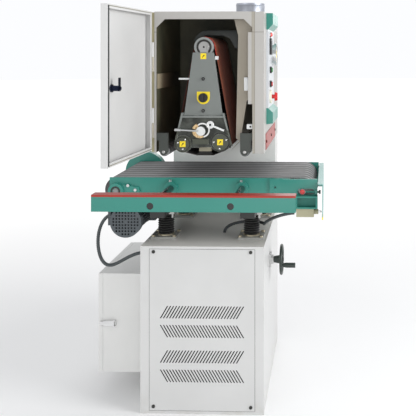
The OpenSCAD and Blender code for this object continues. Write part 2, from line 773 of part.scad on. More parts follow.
module table_frame() color("teal") {
    difference() {
        union() {
            block([drive_x - 30, 330], [side_y, side_y + side_t], [table_z - 140, table_z - 2]);
            block([drive_x - 30, 470], [rear_side_y, rear_side_y + side_t],
                [table_z - 120, table_z - 2]);
            block([-370, -240], [rear_side_y, rear_side_y + side_t], [722, table_z - 119]);
            for (x = rod_x) {
                bar_y([x, rod_z], 27, [front - 16, front + 1]);
                bar_y([x, rod_z], 19, [side_y + side_t, side_y + 80]);
            }
        }
        for (x = rod_x) bar_y([x, rod_z], rod_r + run, [front - 17, side_y + 81]);
        bar_y([drive_x, feed_z], 16, [front - 1, rear_side_y + 7]);
        bar_y([tail_x, feed_z], 26, [rear_side_y - 1, rear_side_y + 7]);
        bar_y(motor_c, 26, [rear_side_y - 1, rear_side_y + 7]);
    }
    y = [side_y + side_t, rear_side_y];
    block([-300, 360], y, [table_z - 12, table_z - 3.5]);
    for (x = [-220, 20, 280]) block([x - 15, x + 15], y, [table_z - 80, table_z - 11]);
    for (x = [-screw_x, screw_x])
        block([x - 30, x + 30], [side_y + side_t, 215], [beam_z, beam_z + 50]);
    // clamp screws on the rail collars
    for (x = rod_x) hex_z([x - 3, front - 8], 7, [rod_z + 25, rod_z + 36]);
}

module conveyor_belt() color("gray")
    wrap_y([[drive_x, feed_z, feed_r], [tail_x, feed_z, feed_r]], 0.2, 0.2 + feed_t,
        [feed_y0, feed_y1]);

// Roller driven by the chain behind the table
module outfeed_roller() color("dimgray") {
    c = [drive_x, feed_z];
    bar_y(c, feed_r, [feed_y0 + 2, feed_y1 - 2]);
    bar_y(c, 12, [front - 17, sprocket_y + 8]);
    translate([c[0], sprocket_y + 6, c[1]]) rotate([90, 0, 0])
        linear_extrude(6) teeth(24, 36, 40);
}

module infeed_roller() color("dimgray") {
    c = [tail_x, feed_z];
    bar_y(c, feed_r, [feed_y0 + 2, feed_y1 - 2]);
    bar_y(c, 12, [front - 12, rear_side_y + 14]);
}

// Bearings of the drive roller and slotted take-up brackets of the tail roller
module roller_supports() color("teal") {
    difference() {
        union() {
            bar_y([drive_x, feed_z], 31, [front - 20, front]);
            slab_y([[drive_x, feed_z + 31], [-262, feed_z + 14], [-255, feed_z + 4],
                [-255, feed_z - 6], [drive_x, feed_z - 31]], [front - 10, front]);
            bar_y([drive_x, feed_z], 31, [rear_side_y + side_t, 56]);
        }
        bar_y([drive_x, feed_z], 12 + run, [front - 21, 57]);
    }
    for (p = [[-302, 22], [-272, 4]]) bar_y([drive_x + 351 + p[0], feed_z + p[1]], 6,
        [front - 14, front - 10]);
    takeup_bracket([front - 8, front], front - 12);
    takeup_bracket([rear_side_y + side_t, rear_side_y + side_t + 8], rear_side_y + 18);
}

// Plate with a long slot for the roller shaft, a take-up screw and a hinge lug
module takeup_bracket(y, bolt_y) {
    difference() {
        union() {
            block([278, 473], y, [table_z - 115, table_z - 4]);
            block([469, 491], y, [stop_axis[1] - 7, stop_axis[1] + 5]);
        }
        for (x = [tail_x - 8, tail_x + 36]) bar_y([x, feed_z], 12 + run, [y[0] - 1, y[1] + 1]);
        block([tail_x - 8, tail_x + 36], [y[0] - 1, y[1] + 1],
            [feed_z - 12 - run, feed_z + 12 + run]);
        bar_y(stop_axis, 4 + run, [y[0] - 1, y[1] + 1]);
        block([297, 305], [y[0] - 1, y[1] + 1], [table_z - 42, table_z - 34]);
    }
    block([462, 473], [bolt_y - 6, bolt_y + 6], [feed_z - 8, feed_z + 8]);
    bar_x([bolt_y, feed_z], 4, [tail_x + 14, 480]);
    translate([479, bolt_y, feed_z]) rotate([0, 90, 0]) cylinder(r = 8, h = 7, $fn = 6);
}

// Gear motor: fan cover, finned body, gearbox, feet and terminal box
module conveyor_motor() color("darkslategray") {
    fan_cover();
    translate([motor_c[0], -140, motor_c[1]]) rotate([90, 0, 0]) linear_extrude(195)
        teeth(24, 53, 59);
    difference() {
        union() {
            bar_y(motor_c, 62, [-142, -120]);
            bar_y(motor_c, 52, [-121, rear_side_y]);
            block([motor_c[0] - 55, motor_c[0] + 52], [-90, rear_side_y],
                [motor_c[1] - 62, motor_c[1] + 30]);
        }
        bar_y(motor_c, 10 + run, [0, rear_side_y + 1]);
    }
    bar_x([-290, motor_c[1] + 6], 19, [-396, motor_c[0]]);
    block([-404, -392], [-330, -250], [758, 818]);
}

// Fan cover with a grid of square holes
module fan_cover() difference() {
    bar_y(motor_c, 65, [fan_y0, -334]);
    bar_y(motor_c, 62.5, [fan_y0 + 2, -345]);
    for (i = [-4 : 4], j = [-4 : 4]) if (norm([i, j]) < 4.3 && norm([i, j]) > 0.8)
        translate([motor_c[0] + 12.6 * i - 3.6, fan_y0 - 1, motor_c[1] + 12.6 * j - 3.6])
            cube([7.2, 4, 7.2]);
}

module motor_sprocket() color("silver") {
    bar_y(motor_c, 10, [2, sprocket_y + 8]);
    translate([motor_c[0], sprocket_y + 6, motor_c[1]]) rotate([90, 0, 0])
        linear_extrude(6) teeth(18, 26, 30);
}

// Guard shell with the drive chain inside
module chain_drive() color("teal") {
    wheels = [[drive_x, feed_z, 95], [motor_c[0], motor_c[1], 70]];
    difference() {
        loop_y(wheels, 0, [56, 98]);
        loop_y(wheels, -2, [58, 96]);
        bar_y([drive_x, feed_z], 52, [55, 59]);
        bar_y(motor_c, 40, [55, 59]);
    }
    wrap_y([[drive_x, feed_z, 40], [motor_c[0], motor_c[1], 30]], 1, 5,
        [sprocket_y, sprocket_y + 6]);
}

// Limit switch and its hood in front of the take-up bracket
module limit_switch() color("beige") {
    difference() {
        block([388, 474], [front - 40, front - 8], [852, table_z - 68]);
        block([392, 466], [front - 41, front - 12], [858, table_z - 74]);
    }
    difference() {
        union() {
            block([388, 459], [front - 35, front - 2], [818, 852]);
            bar_x([plunger_y, plunger_z], 10, [458, 477]);
        }
        bar_x([plunger_y, plunger_z], 4 + run, [430, 478]);
    }
}

module switch_plunger() color("silver") {
    bar_x([plunger_y, plunger_z], 4, [442, 486]);
    translate([486, plunger_y, plunger_z]) sphere(r = 4, $fn = 32);
}

// Emergency stop plate, hinged along its upper edge
module stop_plate() color("gainsboro") {
    x1 = 496;
    y = [front - 60, 100];
    block([x1 - 3, x1], y, [table_z - 157, table_z - 15]);
    block([475, x1], y, [table_z - 18, table_z - 15]);
    for (e = [[front - 15, front - 10, front - 1], [57, 52, rear_side_y + 5]]) {
        near = min(e[0], e[1]);
        block([478, x1 - 1], [near, near + 5], [stop_axis[1] - 7, table_z - 16]);
        bar_y(stop_axis, 4, [min(e[0], e[2]), max(e[0], e[2])]);
    }
}

// ---- support rail ----

module support_rail() color("teal") difference() {
    block(rail_x, [rail_y0, rail_y1], [table_z - 65, table_z - 12]);
    block(rail_x + [-1, 1], [rail_y0 + 3, rail_y1 - 3], [table_z - 62, table_z - 15]);
    for (x = rod_x) {
        bar_y([x, rod_z], 12.5, [rail_y0 - 1, rail_y0 + 4]);
        bar_y([x, rod_z], rod_r + 0.05, [rail_y1 - 4, rail_y1 + 1]);
    }
}

module rail_strip() color("red") block(rail_x, [rail_y0, rail_y1], [table_z - 12, table_z - 4]);

module rail_rods() color("black") for (x = rod_x)
    bar_y([x, rod_z], rod_r, [rail_y0 + 3, front + 62]);

// Flexible leads of the feed motor and of the limit switch
module flex_cables() color("black") {
    cable([[-412, -290, 790], [-478, -290, 755], [-470, -290, 600], [-422, -290, 582]], 8);
    cable([[-422, -290, 582], [-380, -290, 566], [-330, -290, 636], [-252, -290, 635]], 8);
    cable([[380, -395, 830], [320, -400, 826], [262, -330, 785], [242, -235, 745]], 7);
    cable([[242, -235, 745], [236, -132, 735], [58, -140, 745], [58, -150, 684]], 7);
}

base_cabinet();
louvred_panel();
fasteners();
column();
head_cabinet();
dust_duct();
control_box();
panel_fittings();
infeed_guard();
sanding_frame();
sanding_belt();
tracking_gear();
main_motor();
drive_belts();
belt_guard();
electrical_box();
screw_flanges();
lift_chain();
screw_bellows();
flex_cables();
roller_brackets();
cabinet_door();
door_latch();
tension_yoke();
idler_roller();
contact_drum();
steel_drum();
platen();
platen_lever();
lock_lever();
tension_knob();
infeed_pressure_roller();
outfeed_pressure_roller();
start_button();
stop_button();
estop_button();
motor_pulley();
box_door();
latch_lever();
table_frame();
conveyor_belt();
jack_screws();
conveyor_motor();
chain_drive();
roller_supports();
limit_switch();
stop_plate();
switch_plunger();
outfeed_roller();
infeed_roller();
support_rail();
rail_strip();
rail_rods();
lift_nut_fl();
lift_nut_fr();
lift_nut_rl();
lift_nut_rr();
lift_drive_shaft();
handwheel();
motor_sprocket();
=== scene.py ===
import math

import bmesh
import bpy
from mathutils import Matrix, Vector


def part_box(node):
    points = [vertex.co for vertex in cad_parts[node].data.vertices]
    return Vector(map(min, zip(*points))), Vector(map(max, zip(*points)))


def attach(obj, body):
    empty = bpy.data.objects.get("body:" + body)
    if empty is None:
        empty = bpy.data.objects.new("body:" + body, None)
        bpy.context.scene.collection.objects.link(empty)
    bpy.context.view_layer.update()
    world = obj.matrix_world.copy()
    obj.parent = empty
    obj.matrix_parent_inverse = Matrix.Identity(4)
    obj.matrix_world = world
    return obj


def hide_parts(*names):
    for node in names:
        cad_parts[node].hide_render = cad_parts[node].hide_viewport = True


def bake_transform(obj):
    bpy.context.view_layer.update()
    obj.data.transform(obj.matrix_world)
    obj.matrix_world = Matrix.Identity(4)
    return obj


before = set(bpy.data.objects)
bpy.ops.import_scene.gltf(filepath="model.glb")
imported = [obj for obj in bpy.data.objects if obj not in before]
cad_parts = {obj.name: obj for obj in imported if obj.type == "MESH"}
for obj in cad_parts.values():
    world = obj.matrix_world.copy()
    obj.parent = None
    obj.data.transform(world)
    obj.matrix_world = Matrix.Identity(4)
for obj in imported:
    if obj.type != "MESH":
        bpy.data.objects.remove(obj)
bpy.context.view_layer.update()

# Every length below is in millimetres; MM turns it into Blender's metres.
MM = 0.001
X, Y, Z = Vector((1, 0, 0)), Vector((0, 1, 0)), Vector((0, 0, 1))


def box_mm(node):
    """Lowest and highest corner of a CAD node, in millimetres."""
    low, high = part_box(node)
    return low / MM, high / MM


# ---- driving places, read from the frame ----

base_lo, base_hi = box_mm("base_cabinet")
head_lo, head_hi = box_mm("head_cabinet")
belt_lo, belt_hi = box_mm("conveyor_belt")
sand_lo, _ = box_mm("sanding_belt")
_, duct_hi = box_mm("dust_duct")
bellows_lo, bellows_hi = box_mm("screw_bellows")
column_lo, _ = box_mm("column")
panel_lo, _ = box_mm("louvred_panel")
ebox_lo, _ = box_mm("electrical_box")
front, back = base_lo.y, base_hi.y
wall_x = head_hi.x - 450          # outer face of the head's left wall
plate_y = front + 32              # front face of the sanding head's plate
idler = Vector((0, plate_y, 1504))
lever = Vector((-8, plate_y, 1157))
lock = Vector((31, plate_y, 1183))
steel_cap = Vector((-84, front + 20, 1103))
drum_cap = Vector((71, front + 22, 1111))
seat = Vector((-3, front + 27.5, 1160))
tension_knob = Vector((0, front + 30.4, 1294))

# Axes and faces that no box gives: (x, y) of the jack screws and of the dust collar, the hinge
# axis of the head door and the angle it stands open, and the panel's face with its two columns.
SCREWS = {"fl": (-186, -215), "fr": (186, -215), "rl": (-186, 165), "rr": (186, 165)}
COLLAR = (172, -137)
DOOR_HINGE, DOOR_OPEN = (-203, -383), 95
PANEL_FACE, BUTTONS_Y, GAUGE_Y, GAUGE_Z = 263.5, -190, -60, 1474
PRESSURE_Z = 1072                 # height of the two pressure rollers
ROLLER_Z = 915                    # height of the table's two rollers
RIBS = 8


def rib_pitch():
    """Distance between the ribs of the conveyor belt, in millimetres."""
    return (belt_hi.y - belt_lo.y) / RIBS


# ---- materials ----

def srgb(r, g, b):
    """Linear colour from 0-255 display values."""
    return tuple((c / 255 / 12.92) if c < 10 else ((c / 255 + 0.055) / 1.055) ** 2.4
                 for c in (r, g, b)) + (1.0,)


def shade(color, k):
    """The colour made lighter or darker by the factor k."""
    return tuple(min(1.0, c * k) for c in color[:3]) + (1.0,)


class Surface:
    """A procedural material whose colour, roughness and metal are blended up by masks."""

    def __init__(self, name, color, rough, metal=0.0):
        self.mat = bpy.data.materials.new(name)
        self.mat.use_nodes = True
        self.tree = self.mat.node_tree
        self.bsdf = self.tree.nodes["Principled BSDF"]
        self.where = self.node("ShaderNodeTexCoord").outputs["Object"]
        self.color, self.rough, self.metal = color, rough, metal
        self.height = None

    def node(self, kind, **settings):
        made = self.tree.nodes.new(kind)
        for key, value in settings.items():
            setattr(made, key, value)
        return made

    def put(self, socket, value):
        """Links a socket, or sets a plain value."""
        if isinstance(value, bpy.types.NodeSocket):
            self.tree.links.new(value, socket)
        else:
            socket.default_value = value

    def math(self, operation, a, b=0.0):
        made = self.node("ShaderNodeMath", operation=operation)
        self.put(made.inputs[0], a)
        self.put(made.inputs[1], b)
        return made.outputs[0]

    def noise(self, scale, detail=3.0, stretch=(1, 1, 1)):
        """Noise of about 1 / scale metres, drawn out along an axis by a small stretch."""
        mapping = self.node("ShaderNodeMapping")
        self.put(mapping.inputs["Vector"], self.where)
        self.put(mapping.inputs["Scale"], stretch)
        made = self.node("ShaderNodeTexNoise")
        self.put(made.inputs["Vector"], mapping.outputs[0])
        self.put(made.inputs["Scale"], scale)
        self.put(made.inputs["Detail"], detail)
        return made.outputs["Fac"]

    def steps(self, value, low, high, to_low=0.0, to_high=1.0):
        made = self.node("ShaderNodeMapRange", clamp=True)
        for socket, number in zip(made.inputs, (value, low, high, to_low, to_high)):
            self.put(socket, number)
        return made.outputs[0]

    def mix(self, mask, a, b, color=True):
        made = self.node("ShaderNodeMix", data_type="RGBA" if color else "FLOAT")
        first = 6 if color else 2
        self.put(made.inputs[0], mask)
        self.put(made.inputs[first], a)
        self.put(made.inputs[first + 1], b)
        return made.outputs[2 if color else 0]

    def axis(self, name):
        split = self.node("ShaderNodeSeparateXYZ")
        self.put(split.inputs[0], self.where)
        return split.outputs[name]

    def inside(self, **bounds):
        """1 inside the given ranges in millimetres, such as x=(0, 10)."""
        mask = 1.0
        for name, (low, high) in bounds.items():
            at = self.axis(name.upper())
            for operation, edge in (("GREATER_THAN", low), ("LESS_THAN", high)):
                if edge is not None:
                    mask = self.math("MULTIPLY", mask, self.math(operation, at, edge * MM))
        return mask

    def edges(self, radius=1.6):
        """1 along convex edges, broken up by noise, where paint rubs thin."""
        rounded = self.node("ShaderNodeBevel", samples=4)
        self.put(rounded.inputs["Radius"], radius * MM)
        flat = self.node("ShaderNodeNewGeometry").outputs["Normal"]
        dot = self.node("ShaderNodeVectorMath", operation="DOT_PRODUCT")
        self.put(dot.inputs[0], rounded.outputs[0])
        self.put(dot.inputs[1], flat)
        turn = self.steps(dot.outputs["Value"], 0.995, 0.90)
        return self.math("MULTIPLY", turn, self.steps(self.noise(38, 5), 0.46, 0.62))

    def over(self, mask, color=None, rough=None, metal=None):
        if color is not None:
            self.color = self.mix(mask, self.color, color)
        if rough is not None:
            self.rough = self.mix(mask, self.rough, rough, False)
        if metal is not None:
            self.metal = self.mix(mask, self.metal, metal, False)
        return self

    def vary(self, amount, scale=5.0, stretch=(1, 1, 1)):
        """Slow change of tone and of gloss over the surface."""
        field = self.noise(scale, 4, stretch)
        gain = self.steps(field, 0.3, 0.7, 1 - amount, 1 + amount)
        scaled = self.node("ShaderNodeVectorMath", operation="SCALE")
        self.put(scaled.inputs[0], self.color if isinstance(self.color, bpy.types.NodeSocket)
                 else self.color[:3])
        self.put(scaled.inputs["Scale"], gain)
        self.color = scaled.outputs[0]
        self.rough = self.math("MULTIPLY", self.rough, self.steps(field, 0.3, 0.7, 0.85, 1.2))
        return self

    def relief(self, height, depth, strength=1.0):
        """Adds a height field; depth is in millimetres."""
        bump = self.node("ShaderNodeBump")
        self.put(bump.inputs["Strength"], strength)
        self.put(bump.inputs["Distance"], depth * MM)
        self.put(bump.inputs["Height"], height)
        if self.height is not None:
            self.put(bump.inputs["Normal"], self.height)
        self.height = bump.outputs[0]
        return self

    def done(self, coat=0.0, sheen=0.0):
        self.put(self.bsdf.inputs["Base Color"], self.color)
        self.put(self.bsdf.inputs["Roughness"], self.rough)
        self.put(self.bsdf.inputs["Metallic"], self.metal)
        self.put(self.bsdf.inputs["Coat Weight"], coat)
        self.put(self.bsdf.inputs["Coat Roughness"], 0.2)
        self.put(self.bsdf.inputs["Sheen Weight"], sheen)
        if self.height is not None:
            self.put(self.bsdf.inputs["Normal"], self.height)
        return self.mat


CREAM = srgb(206, 206, 205)
GREEN = srgb(42, 130, 117)
GREY = srgb(122, 127, 124)
DARK = srgb(52, 55, 50)
SHADE_OLIVE = srgb(66, 67, 52)


def painted(name, color, rough=0.42, wear=0.5):
    """Stoved paint with orange peel, slow tone changes and thin edges. Returned unfinished."""
    s = Surface(name, color, rough)
    s.vary(0.035, 4.0)
    s.over(s.math("MULTIPLY", s.edges(), wear), color=shade(color, 1.25), rough=0.55)
    s.relief(s.noise(420, 2), 0.12, 0.25)
    return s


def scuffed(s, low, high, color):
    """Grime that gathers between two heights, as at a cabinet's foot."""
    depth = s.steps(s.axis("Z"), high * MM, low * MM)
    patch = s.steps(s.noise(14, 5), 0.48, 0.72)
    return s.over(s.math("MULTIPLY", s.math("MULTIPLY", depth, patch), 0.5), color=color, rough=0.7)


def metal(name, color, rough, stretch=(1, 1, 1), scale=600):
    """Machined metal with fine tool marks, drawn out by the stretch."""
    s = Surface(name, color, rough, 1.0)
    s.vary(0.06, 24, stretch)
    s.relief(s.noise(scale, 3, stretch), 0.03, 0.35)
    return s


def rubber(name, color, rough=0.62):
    s = Surface(name, color, rough)
    s.vary(0.12, 18)
    s.relief(s.noise(900, 3), 0.08, 0.4)
    return s


def plastic(name, color, rough=0.4):
    s = Surface(name, color, rough)
    s.vary(0.05, 30)
    s.relief(s.noise(1400, 2), 0.03, 0.3)
    return s


def make_materials():
    """All finishes by name."""
    m = {}
    m["cream"] = painted("cream_paint", CREAM).done(coat=0.12)
    s = scuffed(painted("base_paint", CREAM), 0, 120, srgb(180, 176, 166))
    # Inside of the base cabinet: near-black, painted shade for the unlit hollow behind the louvres.
    painted_shade_interior = s.inside(x=(base_lo.x + 2, -base_lo.x - 2), y=(front + 1.6, back - 2),
                      z=(4, base_hi.z - 7))
    s.over(painted_shade_interior, srgb(26, 27, 26), 0.8)
    # Top face of the base: lighter, painted light on the face in the table's shadow.
    s.over(s.inside(z=(base_hi.z - 0.6, None)), srgb(238, 236, 230))
    m["base"] = s.done(coat=0.12)
    s = painted("louvre_paint", CREAM)
    # Everything behind the panel's front face: near-black, painted shade in the louvre slots.
    s.over(s.inside(y=(panel_lo.y + 0.5, None)), srgb(14, 14, 14), 0.8)
    m["louvre"] = s.done(coat=0.12)
    s = painted("cabinet_paint", srgb(222, 222, 220))
    s.over(s.inside(x=(None, ebox_lo.x + 2.4)), srgb(24, 24, 24), 0.7)
    m["cabinet"] = s.done(coat=0.12)
    m["cabinet_door"] = painted("cabinet_door_paint", srgb(222, 222, 220)).done(coat=0.12)
    s = painted("column_paint", CREAM)
    # Front face of the column: lighter, painted light on the face under the head.
    s.over(s.inside(y=(None, column_lo.y + 1)), srgb(240, 239, 237))
    m["column"] = s.done(coat=0.08)
    m["duct"] = painted("duct_paint", srgb(158, 150, 136), 0.5).done()
    m["panel_plate"] = painted("panel_plate", srgb(206, 210, 214), 0.35).done(coat=0.2)
    m["stop_plate"] = painted("stop_plate_paint", srgb(118, 168, 162), 0.4).done(coat=0.1)

    # Head paint: greyer than the base's cream, painted shade for the head frame.
    s = painted("head_paint", srgb(176, 174, 170))
    face = front + 1
    jamb, fold, seam = (203.4, 216), (216, 217.2), (1564, 1566)
    # Jamb and fold: darker strips, painted shade on the folded front post; the seam is a dark joint.
    s.over(s.inside(x=jamb, y=(None, face)), srgb(160, 155, 144))
    s.over(s.inside(x=fold, y=(None, face)), srgb(96, 92, 84))
    s.over(s.inside(z=seam, y=(None, face)), srgb(120, 116, 108))
    s.over(s.inside(x=(None, wall_x - 0.5)), srgb(168, 162, 148), 0.35, 0.7)  # hinge leaves
    # Inside of the sanding chamber: blotchy olive, painted shade for the unlit interior.
    chamber = s.inside(x=(wall_x + 2, head_hi.x - 2), y=(front + 2.4, back - 2),
                       z=(head_lo.z + 0.5, head_hi.z - 2))
    s.over(chamber, color=s.mix(s.steps(s.noise(9, 5), 0.35, 0.7), SHADE_OLIVE, srgb(92, 90, 70)),
           rough=0.55)
    m["head"] = s.done(coat=0.08)

    m["green"] = painted("green_paint", GREEN, 0.33, 0.6).done(coat=0.25)
    # Table: bright clamp bolts on the rail's bearings; painted shade, near-black, on the lugs under the
    # side.
    s = painted("table_paint", GREEN, 0.33, 0.6)
    s.over(s.inside(y=(None, front - 0.5), z=(953.4, None)), srgb(205, 205, 205), 0.22, 1.0)
    # Lugs under the side: near-black, painted shade.
    s.over(s.inside(x=(-262, 262), z=(None, 905)), srgb(34, 35, 34), 0.6)
    m["table"] = s.done(coat=0.2)
    # Roller supports: bright take-up bolts on the left, a dark screw end on the right.
    s = painted("support_paint", GREEN, 0.33, 0.6)
    s.over(s.inside(x=(-312, -262), y=(None, front - 10.2)), srgb(205, 205, 205), 0.22, 1.0)
    s.over(s.inside(x=(473.4, None)), DARK, 0.4, 0.8)
    m["supports"] = s.done(coat=0.2)
    s = painted("box_paint", srgb(46, 136, 122), 0.35)
    s.over(s.inside(x=(None, 264), z=(1245, 1579)), srgb(206, 210, 214), 0.35)
    m["control_box"] = s.done(coat=0.2)
    m["red"] = painted("red_paint", srgb(158, 34, 16), 0.4, 0.2).done(coat=0.1)

    s = Surface("frame_casting", GREY, 0.5)
    s.vary(0.05, 8)
    caps = s.inside(y=(None, front + 26.3), z=(None, 1160))
    s.over(caps, color=srgb(70, 74, 62), rough=0.45)
    # Recess by the levers and all behind the front plate: darker, painted shade.
    well = s.inside(y=(front + 30, front + 45), z=(1085, 1214))
    s.over(well, color=s.mix(s.steps(s.noise(30, 5), 0.4, 0.65), DARK, srgb(86, 90, 84)), rough=0.6)
    s.over(s.inside(y=(front + 46, None)), color=srgb(66, 70, 66), rough=0.6)
    s.over(s.edges(2.0), color=srgb(176, 180, 176), rough=0.4)
    s.relief(s.noise(260, 3), 0.2, 0.35)
    m["casting"] = s.done()
    s = Surface("bracket_casting", srgb(66, 70, 66), 0.6)
    s.vary(0.1, 14)
    s.relief(s.noise(240, 4), 0.4, 0.5)
    m["rough_casting"] = s.done()
    # Painted plates under the bellows, with bare bolts and rings on top.
    s = metal("flange", srgb(208, 198, 174), 0.34, scale=200)
    s.over(s.inside(z=(None, base_hi.z + 8.3)), srgb(168, 168, 164), 0.5, 0.0)
    m["zinc"] = s.done()
    # Safety switch: green housing above, beige cover below.
    s = painted("switch_paint", srgb(168, 164, 136), 0.45)
    s.over(s.inside(z=(852, None)), GREEN)
    m["switch"] = s.done()
    # Main motor inside the base: near-black, painted shade for its place in the unlit cabinet.
    m["inner_motor"] = painted("inner_motor_paint", srgb(22, 24, 24), 0.8).done()
    m["wheel"] = plastic("wheel_enamel", srgb(44, 54, 50), 0.35).done(coat=0.2)
    m["latch"] = metal("blued_steel", srgb(44, 50, 72), 0.36).done()
    # Beige-olive strip along the hinge side: painted shade for the door's edge seen in shade.
    m["edge_shade_strip"] = rubber("edge_shade_strip", srgb(178, 170, 136), 0.6).done()
    m["lip"] = rubber("lip_seal", srgb(140, 136, 122), 0.5).done()
    s = painted("brace_paint", srgb(150, 140, 118), 0.45)
    # Darker deeper into the chamber: painted shade.
    s.over(s.steps(s.axis("Y"), (front + 60) * MM, (front + 300) * MM), srgb(48, 46, 36))
    m["brace"] = s.done()
    m["hose"] = rubber("hose_rubber", srgb(60, 66, 64), 0.5).done(sheen=0.1)

    m["steel"] = metal("steel", srgb(172, 172, 170), 0.3, (1, 1, 0.15)).done()
    m["roller"] = metal("turned_roller", srgb(150, 154, 152), 0.34, (1, 0.08, 1)).done()
    m["dark_steel"] = metal("dark_steel", srgb(70, 70, 68), 0.42).done()
    m["chrome"] = metal("chrome", srgb(226, 226, 226), 0.14, scale=120).done()
    m["satin"] = metal("satin_aluminium", srgb(214, 216, 216), 0.32).done()
    s = metal("brass", srgb(222, 194, 150), 0.42, (0.1, 1, 1))
    s.over(s.steps(s.noise(160, 4), 0.45, 0.6), srgb(150, 126, 92))
    m["brass"] = s.done()
    m["galvanised"] = metal("galvanised", srgb(186, 190, 200), 0.36, scale=60).done()

    m["rubber"] = rubber("black_rubber", srgb(30, 31, 31)).done(sheen=0.1)
    m["bellows"] = rubber("bellows_rubber", srgb(24, 24, 23), 0.5).done(sheen=0.15)
    m["drum"] = rubber("drum_rubber", srgb(46, 46, 44), 0.55).done()
    # Feed belt: lighter lines on the ribs' crowns, painted highlight.
    s = rubber("feed_belt", srgb(82, 83, 83), 0.6)
    wave = s.math("SINE", s.math("MULTIPLY", s.math("SUBTRACT", s.axis("Y"), belt_lo.y * MM),
                                 2 * math.pi / (rib_pitch() * MM)))
    s.over(s.steps(wave, 0.4, 0.7), srgb(140, 141, 141), 0.7)
    m["belt"] = s.done(sheen=0.12)
    m["cable"] = rubber("cable_sheath", srgb(64, 70, 72), 0.45).done()

    # Abrasive: dark cut edge, painted shade on the belt below the rollers, red on the near edge over the
    # idler's right half.
    s = Surface("abrasive", srgb(196, 98, 60), 0.8)
    s.vary(0.18, 9, (1, 1, 0.3))
    s.over(s.inside(y=(None, sand_lo.y + 0.6)), srgb(58, 30, 22), 0.7)
    # Below the rollers: near-black, painted shade.
    s.over(s.inside(z=(None, 1078)), srgb(44, 30, 24), 0.7)
    s.over(s.inside(x=(2, None), y=(None, sand_lo.y + 6), z=(1470, None)), srgb(232, 36, 22), 0.5)
    s.relief(s.noise(1100, 4), 0.35, 0.8)
    m["abrasive"] = s.done(sheen=0.1)
    s = Surface("platen_pad", srgb(176, 170, 148), 0.7)
    s.vary(0.1, 20)
    s.over(s.inside(z=(None, 1068)), srgb(30, 30, 28))
    s.relief(s.noise(700, 4), 0.2, 0.5)
    m["pad"] = s.done()

    m["motor"] = painted("motor_paint", srgb(74, 80, 84), 0.5).done()
    m["black"] = plastic("black_plastic", srgb(26, 26, 26)).done()
    m["black_gloss"] = plastic("black_gloss", srgb(20, 20, 21), 0.2).done(coat=0.4)
    m["white"] = plastic("white_plastic", srgb(226, 228, 228), 0.4).done()
    m["yellow"] = plastic("yellow_sign", srgb(250, 222, 36), 0.45).done()
    m["green_button"] = plastic("green_button", srgb(34, 150, 66), 0.25).done(coat=0.5)
    m["red_button"] = plastic("red_button", srgb(212, 26, 24), 0.25).done(coat=0.5)
    m["lens"] = plastic("red_lens", srgb(226, 70, 62), 0.12).done(coat=0.8)
    m["dial"] = plastic("dial_face", srgb(236, 232, 214), 0.4).done()
    return m


MAT = make_materials()

CAD_LOOK = {
    "base": "base_cabinet", "louvre": "louvred_panel", "column": "column",
    "cream": "belt_guard cabinet_door", "cabinet": "electrical_box", "cabinet_door": "box_door",
    "head": "head_cabinet", "control_box": "control_box", "red": "infeed_guard rail_strip",
    "duct": "dust_duct", "casting": "sanding_frame", "abrasive": "sanding_belt",
    "white": "tracking_gear", "motor": "conveyor_motor", "inner_motor": "main_motor",
    "zinc": "screw_flanges", "rough_casting": "roller_brackets",
    "steel": "tension_yoke jack_screws lift_drive_shaft motor_sprocket motor_pulley",
    "dark_steel": "lift_chain fasteners", "rubber": "drive_belts flex_cables screw_bellows",
    "roller": "idler_roller steel_drum infeed_roller", "drum": "contact_drum",
    "belt": "conveyor_belt outfeed_roller infeed_pressure_roller outfeed_pressure_roller",
    "pad": "platen", "satin": "platen_lever lock_lever", "chrome": "latch_lever switch_plunger",
    "latch": "door_latch", "wheel": "handwheel",
    "black": "tension_knob panel_fittings", "black_gloss": "rail_rods",
    "green_button": "start_button", "red_button": "stop_button estop_button",
    "table": "table_frame", "supports": "roller_supports", "green": "chain_drive support_rail",
    "switch": "limit_switch", "stop_plate": "stop_plate",
    "brass": "lift_nut_fl lift_nut_fr lift_nut_rl lift_nut_rr",
}


def smoothing_group():
    """Node group that welds a mesh and shades it smooth except across sharp edges."""
    group = bpy.data.node_groups.new("smooth_by_angle", "GeometryNodeTree")
    for way in ("INPUT", "OUTPUT"):
        group.interface.new_socket("Geometry", in_out=way, socket_type="NodeSocketGeometry")
    add, link = group.nodes.new, group.links.new
    entry, leave = add("NodeGroupInput"), add("NodeGroupOutput")
    weld = add("GeometryNodeMergeByDistance")
    weld.inputs["Distance"].default_value = 0.005 * MM
    forget = add("GeometryNodeRemoveAttribute")
    forget.inputs["Name"].default_value = "custom_normal"
    soft = add("GeometryNodeSetShadeSmooth")
    hard = add("GeometryNodeSetShadeSmooth")
    hard.domain = "EDGE"
    hard.inputs["Shade Smooth"].default_value = False
    angle = add("GeometryNodeInputMeshEdgeAngle")
    sharp = add("FunctionNodeCompare")
    sharp.inputs[1].default_value = math.radians(31)
    link(entry.outputs[0], forget.inputs["Geometry"])
    link(forget.outputs[0], weld.inputs["Geometry"])
    link(weld.outputs[0], soft.inputs["Geometry"])
    link(soft.outputs[0], hard.inputs["Geometry"])
    link(angle.outputs[0], sharp.inputs[0])
    link(sharp.outputs[0], hard.inputs["Selection"])
    link(hard.outputs[0], leave.inputs[0])
    return group


SMOOTH = smoothing_group()


def smooth(obj):
    obj.modifiers.new("smooth", "NODES").node_group = SMOOTH
    return obj


def dress_cad_nodes():
    """Gives every CAD node its material and smooth shading."""
    for look, names in CAD_LOOK.items():
        for name in names.split():
            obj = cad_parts[name]
            obj.data.materials.clear()
            obj.data.materials.append(MAT[look])
            smooth(obj)


# ---- building pieces ----

